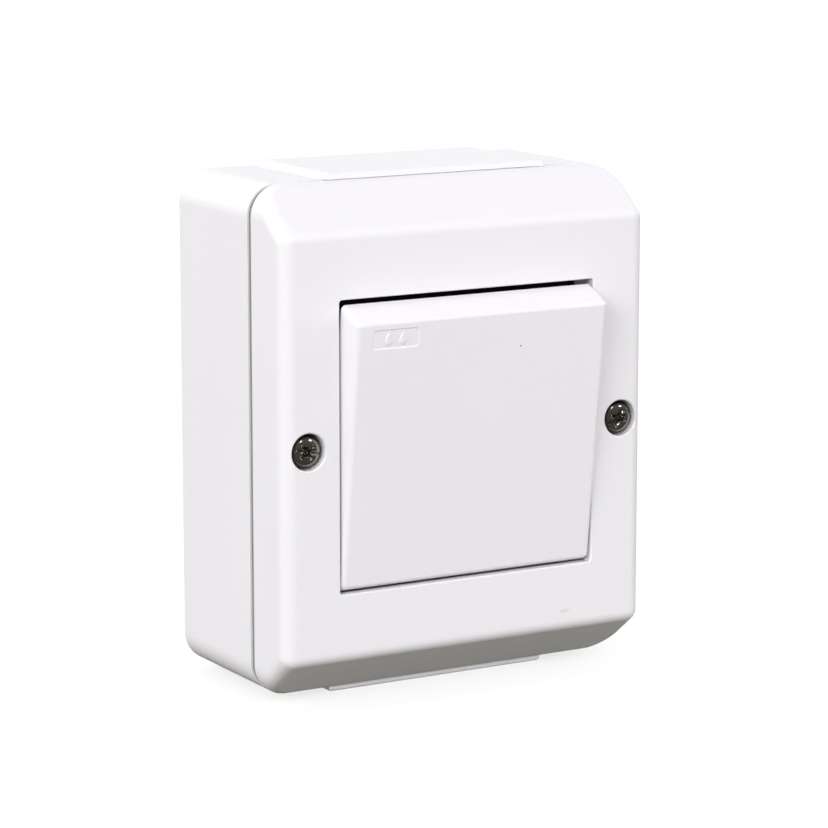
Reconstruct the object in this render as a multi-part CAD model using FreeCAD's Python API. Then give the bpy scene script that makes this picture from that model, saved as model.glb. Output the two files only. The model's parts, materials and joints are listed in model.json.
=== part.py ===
import FreeCAD, Part
import math
import os

from FreeCAD import Vector

# Surface-mounted weatherproof rocker switch: a moulded box with a bevelled cover, a rocker in a
# square opening, two cover screws, slide-in cable entry plates, and a see-saw contact mechanism.
# Frame: origin at the centre of the rear face that sits on the wall, +X right, +Z up, +Y into
# the wall. A depth is measured from the wall towards the viewer, so depth d lies at y = -d.

# Body envelope
body_width = 78.4
body_height = 96.0
body_depth = 42.0
cover_depth = 12.2
gasket_thickness = 1.4
outline_radius = 6.0
bevel = 10.8
bevel_angle = 52.5
front_edge_radius = 2.6
rear_edge_radius = 0.8
wall = 2.6
back_wall = 2.4

# Opening in the cover and the collar round it
opening_size = 55.0
opening_corner_radius = 0.6
opening_edge_radius = 0.3
lip_thickness = 2.0
collar_wall = 1.5
collar_reach = 7.8
collar_side_step = 0.4
collar_end_step = 1.1

# Rocker, which turns about a horizontal axis behind its face
rocker_tilt = 6.6
pivot_behind_face = 9.3
face_offset = 12.2
rocker_side_gap = 0.4
rocker_end_gap = 0.35
skirt_offset = 6.0
rocker_wall = 1.8
face_thickness = 2.0
rocker_edge_radius = 1.0
stiffener_places = (14.0, 21.0)
stiffener_width = 1.2
stiffener_height = 1.5
stiffener_reach = 23.5

# Cover screws and their wells
cover_screw_spacing = 68.0
well_diameter = 7.0
well_chamfer = 0.25
screw_head_diameter = 6.3
screw_head_height = 2.1
head_below_face = 0.9
screw_shank_diameter = 3.4
shank_clearance = 0.25
pilot_room = 1.0
cover_screw_length = 24.2
screw_seal_thickness = 0.8
boss_diameter = 9.6
cover_post_diameter = 8.0
recess_arm = 1.9
recess_width = 0.9
recess_depth = 1.2
slot_half_length = 2.6
slot_depth = 0.6

# Gasket and the groove in the box's rim
gasket_inset = 0.35
gasket_width = 1.7
gasket_rib_width = 0.8
gasket_rib_height = 0.8
groove_clearance = 0.1

# Locating tabs inside the cover
tab_thickness = 1.2
tab_reach = 2.2
tab_near = 12.0
tab_far = 30.0
tab_root = 3.0

# Cable entry plates
entry_neck_width = 38.0
entry_pad_width = 47.0
entry_pad_height = 1.3
entry_pad_rear = 3.0
entry_lip_length = 0.3
entry_neck_rear = 7.0
entry_flange_width = 43.0
entry_flange_thickness = 1.6
entry_flange_rear = 5.0
entry_slide_clearance = 0.1
entry_edge_radius = 0.7
knockout_diameter = 16.3
knockout_web = 0.7
knockout_groove = 1.2

# Wall fixing holes in the back of the box, each closed inside by a web that its screw pierces
wall_hole_spacing_x = 52.0
wall_hole_spacing_z = 76.0
wall_hole_diameter = 4.5
wall_collar_diameter = 9.0
wall_collar_height = 3.0
wall_hole_web = 0.6

# Support frame of folded sheet, and its two screws
yoke_width = 52.0
yoke_height = 69.0
yoke_sheet = 1.0
yoke_window_width = 39.2
yoke_window_height = 35.2
yoke_flange = 3.5
yoke_flange_height = 44.0
yoke_bend_radius = 0.9
yoke_screw_spacing = 60.0
yoke_slot_width = 3.4
yoke_slot_length = 6.4
yoke_post_diameter = 7.2
post_rib_thickness = 1.2
post_rib_height = 10.5
yoke_screw_diameter = 2.9
yoke_screw_length = 14.0
yoke_head_diameter = 5.6
yoke_head_height = 1.8
driver_slot_width = 0.8
driver_slot_depth = 0.9

# Mechanism base and the bearing frame clipped on its front
base_size = 38.0
base_floor = 1.5
base_corner_radius = 1.0
frame_width = 46.0
frame_height = 43.0
frame_plate = 2.0
bearing_height = 6.7
drum_window_height = 14.4
ear_thickness = 3.1
ear_half_width = 4.2
ear_gap = 0.3
bearing_clearance = 0.1
snap_slot_half = 2.1
hook_leg = 1.5
hook_leg_width = 4.0
hook_place = 8.0
hook_catch = 0.8
hook_length = 6.1
hook_head = 1.6
clip_clearance = 0.1
stake_place_x = 21.3
stake_place_z = 16.0
stake_diameter = 2.0
stake_head_diameter = 3.4
stake_head_height = 0.7

# Toggle drum that carries the rocker
drum_radius = 8.6
drum_length = 31.0
drum_front = 6.8
drum_rear = 6.0
trunnion_diameter = 5.0
snout_diameter = 7.0
snout_reach = 9.2
bore_diameter = 4.2
bore_blind = 3.5
pocket_near = 5.5
pocket_far = 13.5
pocket_half = 4.0
pocket_floor = 0.5
rail_place = 4.6
rail_width = 1.2
rail_half = 3.9
leg_near = 7.0
leg_far = 12.0
leg_thickness = 1.0
leg_clearance = 0.1
leg_tip = 2.5
catch_height = 1.1
catch_reach = 0.6
catch_slot_reach = 0.8

# Spring and plunger in the toggle's bore
plunger_clearance = 0.05
plunger_tip_reach = 12.0
plunger_back = 5.0
spigot_diameter = 2.2
spigot_length = 1.5
spring_diameter = 3.6
spring_wire = 0.5
spring_turns = 5.5
spring_flats = 6
spring_end_gap = 0.05

# Contact lever, a see-saw on the common terminal's rounded fulcrum
lever_drop = 14.2
lever_tilt = 8.0
lever_end_room = 8.0
lever_half_width = 3.2
lever_underside = 0.9
lever_thickness = 1.2
cradle_top = 3.2
cradle_half = 3.4
cradle_foot = 4.3
cradle_clearance = 0.2
saddle_inner = 1.1
saddle_width = 0.8
saddle_drop = 1.2
fulcrum_radius = 0.8
fulcrum_half_width = 2.8

# Contacts and terminal strips
contact_radius = 1.5
contact_thickness = 0.8
contact_gap = 0.1
fixed_tip_rise = 0.98
strip_thickness = 1.0
strip_half_width = 1.8
strip_step = 0.1
tail_half_width = 2.0
tail_past_screw = 2.4
common_half_width = 2.5
terminal_wall_x = 3.3
terminal_wall_z = 1.2

# Terminal clamps and screws
clamp_width = 7.0
clamp_length = 6.0
clamp_floor = 1.4
clamp_roof = 2.6
clamp_mouth = 4.6
clamp_side = 1.2
clamp_screw_diameter = 2.9
clamp_screw_tip = 0.2
clamp_screw_gap = 0.2
clamp_head_diameter = 5.2
clamp_head_height = 1.8
clamp_room = 0.2
chamber_half_width = 5.0
chamber_end_room = 1.5
channel_room = 0.3
wire_hole_diameter = 3.8
access_diameter = 6.0

# Rubber seal between the collar and the toggle drum
seal_thickness = 1.0
seal_edge_gap = 0.4
bead_height = 0.6
bead_width = 0.9
turret_room_x = 1.0
turret_half_height = 12.4
turret_height = 5.9
seal_lip_gap = 0.3

# Allowances for cutting, joining and finding edges
cut_past = 1.0
root_depth = 0.5
same_place = 1e-3

# Sizes worked out from the driving dimensions
half_width = body_width / 2
half_height = body_height / 2
bevel_height = bevel / math.tan(math.radians(bevel_angle))
seam_front = body_depth - cover_depth
rim_depth = seam_front - gasket_thickness
screw_x = cover_screw_spacing / 2
half_opening = opening_size / 2
lip_rear = body_depth - lip_thickness
collar_depth = body_depth - collar_reach
pivot_depth = body_depth - pivot_behind_face
turret_top = pivot_depth + turret_height
rocker_half_width = half_opening - rocker_side_gap
rocker_radius = math.hypot(half_opening, lip_rear - pivot_depth) - rocker_end_gap
collar_inner_x = half_opening + collar_side_step
collar_inner_z = half_opening + collar_end_step
screw_head_seat = body_depth - head_below_face - screw_head_height
well_floor = screw_head_seat - screw_seal_thickness
frame_front = pivot_depth - bearing_height
frame_rear = frame_front - frame_plate
base_front = frame_rear
yoke_front = frame_front + yoke_sheet
trunnion_reach = drum_length / 2 + ear_gap + ear_thickness
ear_inner = drum_length / 2 + ear_gap
plunger_radius = bore_diameter / 2 - plunger_clearance
tip_centre_reach = plunger_tip_reach - plunger_radius
lever_depth = pivot_depth - lever_drop
lever_half_length = base_size / 2 - lever_end_room
contact_place = lever_half_length - contact_radius
closing_drop = contact_place * math.sin(math.radians(lever_tilt))
strip_top = lever_depth - closing_drop - fixed_tip_rise
strip_floor = strip_top - strip_thickness
clamp_rear = strip_floor - clamp_floor
clamp_front = clamp_rear + clamp_floor + clamp_mouth + clamp_roof
base_rear = clamp_rear - clamp_room - base_floor
chamber_half_length = lever_half_length + chamber_end_room
strip_centre = contact_place - strip_step
terminal_x = base_size / 2 - terminal_wall_x - clamp_room - clamp_width / 2
terminal_z = base_size / 2 - terminal_wall_z - clamp_room - clamp_length / 2
tail_end = terminal_z + tail_past_screw
knockout_depth = (entry_neck_rear + rim_depth) / 2


def edges_at_depth(shape, depth):
    """Edges of a shape that lie flat at one depth."""
    return [e for e in shape.Edges
            if abs(-e.BoundBox.YMin - depth) < same_place
            and abs(-e.BoundBox.YMax - depth) < same_place]


def block(x0, x1, d0, d1, z0, z1):
    """Box between two widths, two depths and two heights."""
    return Part.makeBox(x1 - x0, d1 - d0, z1 - z0, Vector(x0, -d1, z0))


def mid_block(half_x, d0, d1, half_z):
    """Box centred on the depth axis."""
    return block(-half_x, half_x, d0, d1, -half_z, half_z)


def rod(radius, d0, d1, x=0.0, z=0.0):
    """Round bar that stands off the wall between two depths."""
    return Part.makeCylinder(radius, d1 - d0, Vector(x, -d0, z), Vector(0, -1, 0))


def cross_rod(radius, half_length, depth, z=0.0):
    """Round bar along X, centred left to right."""
    start = Vector(-half_length, -depth, z)
    return Part.makeCylinder(radius, 2 * half_length, start, Vector(1, 0, 0))


def rounded_block(half_x, half_z, radius, d0, d1):
    """Box whose four edges along the depth are rounded."""
    body = mid_block(half_x, d0, d1, half_z)
    edges = [e for e in body.Edges if abs(e.BoundBox.YLength - (d1 - d0)) < same_place]
    return body.makeFillet(radius, edges)


def prism_along_x(points, half_length):
    """Solid of a side profile, given as depth and height pairs, carried from left to right."""
    corners = [Vector(-half_length, -d, z) for d, z in points]
    wire = Part.makePolygon(corners + corners[:1])
    return Part.Face(wire).extrude(Vector(2 * half_length, 0, 0))


def side_block(side, x0, x1, d0, d1, z0, z1):
    """Box on the right for side 1, mirrored to the left for side -1."""
    low, high = sorted((side * x0, side * x1))
    return block(low, high, d0, d1, z0, z1)


def end_block(end, x0, x1, d0, d1, z0, z1):
    """Box at the top for end 1, mirrored to the bottom for end -1."""
    low, high = sorted((end * z0, end * z1))
    return block(x0, x1, d0, d1, low, high)


def turned(shape, depth, degrees):
    """Copy of a shape, turned about the horizontal axis at a depth; positive brings the top out."""
    copy = shape.copy()
    copy.rotate(Vector(0, -depth, 0), Vector(1, 0, 0), degrees)
    return copy


def cover_form(inset, rear):
    """Closed form of the cover, bevelled at top and bottom, with every wall moved in by inset."""
    front = body_depth - inset
    crown = half_height - inset
    shoulder = body_depth - bevel - inset * math.tan(math.radians((90 - bevel_angle) / 2))
    face_edge = half_height - bevel_height - inset * math.tan(math.radians(bevel_angle / 2))
    profile = [(rear, -crown), (shoulder, -crown), (front, -face_edge),
               (front, face_edge), (shoulder, crown), (rear, crown)]
    slab = prism_along_x(profile, half_width - inset)
    column = rounded_block(half_width - inset, crown, outline_radius - inset, rear, front)
    return slab.common(column)


def cover_skin():
    """Outside of the cover, with its front, bevel and side edges rounded."""
    form = cover_form(0, seam_front)
    edges = [e for e in form.Edges if -e.BoundBox.YMax > seam_front + same_place]
    return form.makeFillet(front_edge_radius, edges)


def rim_ring(outer_inset, width, d0, d1):
    """Ring that follows the body's outline, a set distance inside it."""
    inner_inset = outer_inset + width
    outer = rounded_block(half_width - outer_inset, half_height - outer_inset,
                          outline_radius - outer_inset, d0, d1)
    inner = rounded_block(half_width - inner_inset, half_height - inner_inset,
                          outline_radius - inner_inset, d0, d1)
    return outer.cut(inner)


def rim_groove():
    """Room for the gasket's rib in the box's rim and in the entry plates."""
    inset = gasket_inset + (gasket_width - gasket_rib_width) / 2 - groove_clearance
    width = gasket_rib_width + 2 * groove_clearance
    depth = gasket_rib_height + groove_clearance
    return rim_ring(inset, width, rim_depth - depth, rim_depth + groove_clearance)


def rear_housing():
    """Open box with posts for the cover and the mechanism, entry slots and wall holes."""
    shell = rounded_block(half_width, half_height, outline_radius, 0, rim_depth)
    shell = shell.makeFillet(rear_edge_radius, edges_at_depth(shell, 0))
    hollow = rounded_block(half_width - wall, half_height - wall, outline_radius - wall,
                           back_wall, rim_depth + cut_past)
    body = shell.cut(hollow)
    posts = []
    holes = []
    root = back_wall / 2
    for side in (-1, 1):
        posts.append(rod(cover_post_diameter / 2, root, rim_depth, side * screw_x))
        posts.append(side_block(side, screw_x, half_width - wall / 2, root, rim_depth,
                                -wall / 2, wall / 2))
        pilot_end = screw_head_seat - cover_screw_length - pilot_room
        holes.append(rod(screw_shank_diameter / 2, pilot_end, rim_depth + cut_past, side * screw_x))
        z = side * yoke_screw_spacing / 2
        posts.append(rod(yoke_post_diameter / 2, root, frame_front, 0, z))
        posts.append(block(-yoke_post_diameter, yoke_post_diameter, root, post_rib_height,
                           z - post_rib_thickness / 2, z + post_rib_thickness / 2))
        pilot_end = yoke_front - yoke_screw_length - pilot_room
        holes.append(rod(yoke_screw_diameter / 2, pilot_end, frame_front + cut_past, 0, z))
    for x in (-wall_hole_spacing_x / 2, wall_hole_spacing_x / 2):
        for z in (-wall_hole_spacing_z / 2, wall_hole_spacing_z / 2):
            top = back_wall + wall_collar_height
            posts.append(rod(wall_collar_diameter / 2, root, top, x, z))
            holes.append(rod(wall_hole_diameter / 2, -cut_past, top - wall_hole_web, x, z))
    for end in (-1, 1):
        holes.append(end_block(end, -entry_neck_width / 2, entry_neck_width / 2,
                               entry_neck_rear, rim_depth + cut_past,
                               half_height - wall - cut_past, half_height + cut_past))
    body = body.fuse(posts).cut(holes)
    return body.cut(rim_groove()).removeSplitter()


def cable_entry_plate(end):
    """Slide-in plate: a pad outside, a neck in the wall's slot and a flange inside."""
    inner_face = half_height - wall
    pad = end_block(end, -entry_pad_width / 2, entry_pad_width / 2,
                    entry_pad_rear, seam_front + entry_lip_length,
                    half_height, half_height + entry_pad_height)
    outer = end * (half_height + entry_pad_height)
    edges = [e for e in pad.Edges
             if abs(e.BoundBox.ZMin - outer) < same_place
             and abs(e.BoundBox.ZMax - outer) < same_place]
    pad = pad.makeFillet(entry_edge_radius, edges)
    step = end_block(end, -entry_pad_width, entry_pad_width, rim_depth, body_depth,
                     half_height - cut_past, half_height + entry_slide_clearance)
    pad = pad.cut(step)
    half_neck = entry_neck_width / 2 - entry_slide_clearance
    neck = end_block(end, -half_neck, half_neck, entry_neck_rear + entry_slide_clearance,
                     rim_depth, inner_face, half_height)
    flange_outer = inner_face - entry_slide_clearance
    flange = end_block(end, -entry_flange_width / 2, entry_flange_width / 2,
                       entry_flange_rear, rim_depth,
                       flange_outer - entry_flange_thickness, flange_outer)
    root = end_block(end, -half_neck, half_neck, entry_neck_rear + entry_slide_clearance,
                     rim_depth, flange_outer - entry_flange_thickness, inner_face)
    ring_low = flange_outer - entry_flange_thickness - cut_past
    ring_high = half_height + entry_pad_height - knockout_web
    axis = Vector(0, 0, end)
    base = Vector(0, -knockout_depth, end * ring_low)
    tall = ring_high - ring_low
    outer_ring = Part.makeCylinder(knockout_diameter / 2, tall, base, axis)
    inner_ring = Part.makeCylinder(knockout_diameter / 2 - knockout_groove, tall, base, axis)
    plate = pad.fuse([neck, flange, root]).cut(outer_ring.cut(inner_ring))
    return plate.cut(rim_groove()).removeSplitter()


def housing_gasket():
    """Flat ring between box and cover, with a rib in the rim's groove."""
    ring = rim_ring(gasket_inset, gasket_width, rim_depth, seam_front)
    rib_inset = gasket_inset + (gasket_width - gasket_rib_width) / 2
    rib = rim_ring(rib_inset, gasket_rib_width, rim_depth - gasket_rib_height, rim_depth)
    return ring.fuse(rib).removeSplitter()


def front_cover():
    """Cover shell with its square opening, the collar round it, screw wells and locating tabs."""
    inner = cover_form(wall, seam_front - cut_past)
    shell = cover_skin().cut(inner)
    collar_outer_x = collar_inner_x + collar_wall
    collar_outer_z = collar_inner_z + collar_wall
    added = [mid_block(collar_outer_x, collar_depth, lip_rear, collar_outer_z)]
    removed = [mid_block(collar_inner_x, collar_depth - cut_past, lip_rear, collar_inner_z)]
    window = rounded_block(half_opening, half_opening, opening_corner_radius,
                           lip_rear - cut_past, body_depth + cut_past)
    removed.append(window)
    for side in (-1, 1):
        x = side * screw_x
        added.append(rod(boss_diameter / 2, seam_front, body_depth - wall / 2, x))
        removed.append(rod(screw_shank_diameter / 2 + shank_clearance, seam_front - cut_past,
                           body_depth, x))
        removed.append(rod(well_diameter / 2, well_floor, body_depth + cut_past, x))
        removed.append(Part.makeCone(well_diameter / 2, well_diameter / 2 + well_chamfer + cut_past,
                                     well_chamfer + cut_past,
                                     Vector(x, well_chamfer - body_depth, 0), Vector(0, -1, 0)))
        tab_outer = half_width - wall - 2 * groove_clearance
        for low, high in ((tab_near, tab_far), (-tab_far, -tab_near)):
            added.append(side_block(side, tab_outer - tab_thickness, tab_outer,
                                    seam_front - tab_reach, seam_front + tab_root, low, high))
            added.append(side_block(side, tab_outer - tab_thickness / 2, half_width - wall / 2,
                                    seam_front + groove_clearance, seam_front + tab_root,
                                    low, high))
    cover = shell.fuse(added).cut(removed).removeSplitter()
    mouth = [e for e in edges_at_depth(cover, body_depth)
             if e.BoundBox.XMin > -half_opening - same_place
             and e.BoundBox.XMax < half_opening + same_place
             and e.BoundBox.ZMin > -half_opening - same_place
             and e.BoundBox.ZMax < half_opening + same_place]
    return cover.makeFillet(opening_edge_radius, mouth)


def cross_recess(depth_top, x):
    """Cross-shaped driver recess with a slot across it, cut from the top of a screw head."""
    low = depth_top - recess_depth
    arms = block(x - recess_arm, x + recess_arm, low, depth_top + cut_past,
                 -recess_width / 2, recess_width / 2)
    arms = arms.fuse(block(x - recess_width / 2, x + recess_width / 2, low, depth_top + cut_past,
                           -recess_arm, recess_arm))
    arms.rotate(Vector(x, 0, 0), Vector(0, 1, 0), 45)
    slot = block(x - slot_half_length, x + slot_half_length, depth_top - slot_depth,
                 depth_top + cut_past, -recess_width / 2, recess_width / 2)
    return arms.fuse(slot)


def cover_screw(side):
    """Pan-head screw in its well; the thread is left plain."""
    x = side * screw_x
    top = screw_head_seat + screw_head_height
    head = rod(screw_head_diameter / 2, screw_head_seat, top, x)
    head = head.makeFillet(screw_head_height / 2, edges_at_depth(head, top))
    shank = rod(screw_shank_diameter / 2, screw_head_seat - cover_screw_length,
                screw_head_seat, x)
    return head.fuse(shank).cut(cross_recess(top, x)).removeSplitter()


def cover_screw_seal(side):
    """Rubber washer under a cover screw's head."""
    x = side * screw_x
    outer = rod(well_diameter / 2 - groove_clearance, well_floor, screw_head_seat, x)
    return outer.cut(rod(screw_shank_diameter / 2, well_floor - cut_past, screw_head_seat + cut_past, x))


def rocker():
    """Rocker in mid position: flat face, ends curved about its axis, ribs, rails and clip legs."""
    face = pivot_depth + face_offset
    skirt = pivot_depth + skirt_offset
    back = face - face_thickness
    slab = mid_block(rocker_half_width, skirt, face, rocker_radius)
    body = cross_rod(rocker_radius, rocker_half_width, pivot_depth).common(slab)
    edges = [e for e in body.Edges if -e.BoundBox.YMin > skirt + same_place]
    body = body.makeFillet(rocker_edge_radius, edges)
    inner_half = rocker_half_width - rocker_wall
    room = mid_block(inner_half, skirt - cut_past, back, rocker_radius)
    room = cross_rod(rocker_radius - rocker_wall, inner_half, pivot_depth).common(room)
    body = body.cut(room)
    added = []
    for side in (-1, 1):
        for place in stiffener_places:
            added.append(side_block(side, place - stiffener_width / 2,
                                    place + stiffener_width / 2,
                                    back - stiffener_height, back + root_depth,
                                    -stiffener_reach, stiffener_reach))
        added.append(side_block(side, rail_place - rail_width / 2, rail_place + rail_width / 2,
                                pivot_depth + drum_front, back + root_depth, -rail_half, rail_half))
        for end in (-1, 1):
            outer = pocket_half - leg_clearance
            low, high = sorted((end * (outer - leg_thickness), end * outer))
            added.append(side_block(side, leg_near, leg_far, pivot_depth + leg_tip,
                                    back + root_depth, low, high))
            low, high = sorted((end * outer, end * (outer + catch_reach)))
            added.append(side_block(side, leg_near, leg_far, pivot_depth + leg_tip,
                                    pivot_depth + leg_tip + catch_height, low, high))
    return body.fuse(added).removeSplitter()


def toggle():
    """Drum with two trunnions, pockets for the rocker's legs, and the plunger's bore."""
    drum = cross_rod(drum_radius, drum_length / 2, pivot_depth)
    drum = drum.common(mid_block(drum_length, pivot_depth - drum_rear,
                                 pivot_depth + drum_front, drum_radius + cut_past))
    axle = cross_rod(trunnion_diameter / 2, trunnion_reach, pivot_depth)
    snout = rod(snout_diameter / 2, pivot_depth - snout_reach, pivot_depth)
    body = drum.fuse([axle, snout])
    removed = [rod(bore_diameter / 2, pivot_depth - snout_reach - cut_past, pivot_depth + bore_blind)]
    for side in (-1, 1):
        removed.append(side_block(side, pocket_near, pocket_far, pivot_depth + pocket_floor,
                                  pivot_depth + drum_front + cut_past, -pocket_half, pocket_half))
        slot = pocket_half + catch_slot_reach
        removed.append(side_block(side, leg_near - leg_clearance, leg_far + leg_clearance,
                                  pivot_depth + leg_tip - leg_clearance,
                                  pivot_depth + leg_tip + catch_height + leg_clearance,
                                  -slot, slot))
    return body.cut(removed).removeSplitter()


def toggle_spring():
    """Compression spring between the bore's blind end and the plunger.

    Its thin wire is kept to a few flats, since it is hidden in the bore.
    """
    low = pivot_depth - plunger_back + spring_wire / 2 + spring_end_gap
    high = pivot_depth + bore_blind - spring_wire / 2 - spring_end_gap
    coil_radius = (spring_diameter - spring_wire) / 2
    pitch = (high - low) / spring_turns
    helix = Part.makeHelix(pitch, high - low, coil_radius)
    corners = []
    for step in range(spring_flats + 1):
        angle = 2 * math.pi * step / spring_flats
        corners.append(Vector(coil_radius + spring_wire / 2 * math.cos(angle), 0,
                              spring_wire / 2 * math.sin(angle)))
    section = Part.makePolygon(corners)
    wire = Part.Wire(helix.Edges).makePipeShell([section], True, True)
    wire.rotate(Vector(0, 0, 0), Vector(1, 0, 0), 90)
    wire.translate(Vector(0, -low, 0))
    return wire


def spring_plunger():
    """Round-nosed plunger, guided in the bore, with a spigot inside the spring."""
    back = pivot_depth - plunger_back
    centre = pivot_depth - tip_centre_reach
    body = rod(plunger_radius, centre, back)
    nose = Part.makeSphere(plunger_radius, Vector(0, -centre, 0))
    spigot = rod(spigot_diameter / 2, back, back + spigot_length)
    return body.fuse([nose, spigot]).removeSplitter()


def plunger_centre_in_lever(share):
    """Place of the nose's centre, as height and depth from the fulcrum in the lever's own frame.

    The rocker stands at a share of its tilt, and the lever at the same share of its own.
    """
    rocker_angle = math.radians(rocker_tilt * share)
    lever_angle = math.radians(lever_tilt * share)
    z = tip_centre_reach * math.sin(rocker_angle)
    d = pivot_depth - lever_depth - tip_centre_reach * math.cos(rocker_angle)
    across = z * math.cos(lever_angle) - d * math.sin(lever_angle)
    out = z * math.sin(lever_angle) + d * math.cos(lever_angle)
    return across, out


def contact_lever():
    """See-saw bar in mid position, with the nose's cradle above and a saddle below."""
    top = lever_underside + lever_thickness
    profile = [(lever_underside, -lever_half_length), (lever_underside, lever_half_length),
               (top, lever_half_length), (top, cradle_foot), (cradle_top, cradle_half),
               (cradle_top, -cradle_half), (top, -cradle_foot), (top, -lever_half_length)]
    body = prism_along_x([(lever_depth + v, u) for v, u in profile], lever_half_width)
    saddle_outer = saddle_inner + saddle_width
    saddle = []
    for end in (-1, 1):
        saddle.append(end_block(end, -lever_half_width, lever_half_width,
                                lever_depth + lever_underside - saddle_drop,
                                lever_depth + lever_underside, saddle_inner, saddle_outer))
    body = body.fuse(saddle)
    cuts = []
    for share in (-1, 0, 1):
        across, out = plunger_centre_in_lever(share)
        cuts.append(cross_rod(plunger_radius + cradle_clearance, lever_half_width + cut_past,
                              lever_depth + out, across))
    return body.cut(cuts).removeSplitter()


def moving_contact_tip(end):
    """Silver tip under one end of the lever."""
    top = lever_depth + lever_underside
    return rod(contact_radius, top - contact_thickness, top, 0, end * contact_place)


def fixed_contact_tip(end):
    """Silver tip on a strip, square to the moving tip as it arrives."""
    face = lever_depth + lever_underside - contact_thickness - contact_gap
    tip = rod(contact_radius, strip_floor, face, 0, end * contact_place)
    tip = turned(tip, lever_depth, -end * lever_tilt)
    return tip.cut(mid_block(half_width, 0, strip_top, half_height))


def fixed_contact_strip(end):
    """Brass strip from under a contact tip to its terminal clamp."""
    across = end_block(end, -contact_radius - strip_step, terminal_x + tail_half_width,
                       strip_floor, strip_top,
                       strip_centre - strip_half_width, strip_centre + strip_half_width)
    tail = end_block(end, terminal_x - tail_half_width, terminal_x + tail_half_width,
                     strip_floor, strip_top, strip_centre - strip_half_width, tail_end)
    return across.fuse(tail).removeSplitter()


def common_terminal():
    """Brass strip with the lever's rounded fulcrum, led to the third clamp."""
    plate = block(-terminal_x - tail_half_width, fulcrum_half_width, strip_floor, strip_top,
                  -common_half_width, common_half_width)
    tail = block(-terminal_x - tail_half_width, -terminal_x + tail_half_width,
                 strip_floor, strip_top, -tail_end, common_half_width)
    tongue = mid_block(fulcrum_half_width, strip_top, lever_depth, fulcrum_radius)
    nose = cross_rod(fulcrum_radius, fulcrum_half_width, lever_depth)
    return plate.fuse([tail, tongue, nose]).removeSplitter()


terminal_places = ((terminal_x, terminal_z), (terminal_x, -terminal_z),
                   (-terminal_x, -terminal_z))


def terminal_clamp(x, z):
    """Rectangular brass cage round a strip's end, threaded in its front wall."""
    half = clamp_width / 2
    cage = block(x - half, x + half, clamp_rear, clamp_front,
                 z - clamp_length / 2, z + clamp_length / 2)
    mouth = block(x - half + clamp_side, x + half - clamp_side, strip_floor,
                  strip_floor + clamp_mouth, z - clamp_length, z + clamp_length)
    return cage.cut([mouth, rod(clamp_screw_diameter / 2, strip_floor, clamp_front + cut_past, x, z)])


def slotted_screw(diameter, tip, seat, head_diameter, head_height, x, z):
    """Cylinder-head screw with a driver slot, between its tip and its head's seat."""
    shank = rod(diameter / 2, tip, seat, x, z)
    head = rod(head_diameter / 2, seat, seat + head_height, x, z)
    top = seat + head_height
    head = head.makeChamfer(head_height / 4, edges_at_depth(head, top))
    slot = block(x - head_diameter, x + head_diameter, top - driver_slot_depth, top + cut_past,
                 z - driver_slot_width / 2, z + driver_slot_width / 2)
    return head.cut(slot).fuse(shank).removeSplitter()


def terminal_screw(x, z):
    """Clamping screw of one terminal, turned nearly home."""
    return slotted_screw(clamp_screw_diameter, strip_top + clamp_screw_tip,
                         clamp_front + clamp_screw_gap, clamp_head_diameter,
                         clamp_head_height, x, z)


def support_frame_screw(end):
    """Screw through the support frame into a post of the box."""
    return slotted_screw(yoke_screw_diameter, yoke_front - yoke_screw_length, yoke_front,
                         yoke_head_diameter, yoke_head_height, 0, end * yoke_screw_spacing / 2)


def mechanism_base():
    """Moulded block with the lever's chamber, channels for the strips and clamp pockets."""
    half = base_size / 2
    body = rounded_block(half, half, base_corner_radius, base_rear, base_front)
    above = base_front + cut_past
    cuts = [mid_block(chamber_half_width, strip_floor, above, chamber_half_length)]
    outer_x = terminal_x + tail_half_width + channel_room
    for end in (-1, 1):
        cuts.append(end_block(end, 0, outer_x, strip_floor, above,
                              strip_centre - strip_half_width - channel_room,
                              strip_centre + strip_half_width + channel_room))
    tail_low = -terminal_x - tail_half_width - channel_room
    tail_high = -terminal_x + tail_half_width + channel_room
    cuts.append(block(tail_low, 0, strip_floor, above,
                      -common_half_width - channel_room, common_half_width + channel_room))
    cuts.append(block(tail_low, tail_high, strip_floor, above, -terminal_z, 0))
    for x, z in terminal_places:
        half_x = clamp_width / 2 + clamp_room
        half_z = clamp_length / 2 + clamp_room
        cuts.append(block(x - half_x, x + half_x, clamp_rear - clamp_room, above,
                          z - half_z, z + half_z))
        wire_depth = strip_floor + clamp_mouth / 2 + strip_thickness / 2
        end = math.copysign(1, z)
        start = Vector(x, -wire_depth, z)
        cuts.append(Part.makeCylinder(wire_hole_diameter / 2, half, start, Vector(0, 0, end)))
    for side in (-1, 1):
        for z in (-hook_place, hook_place):
            low = base_front - hook_length - clip_clearance
            high = base_front - hook_length + hook_head + clip_clearance
            cuts.append(side_block(side, half - hook_catch - clip_clearance, half + cut_past, low, high,
                                   z - hook_leg_width / 2 - clip_clearance,
                                   z + hook_leg_width / 2 + clip_clearance))
    return body.cut(cuts).removeSplitter()


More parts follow.
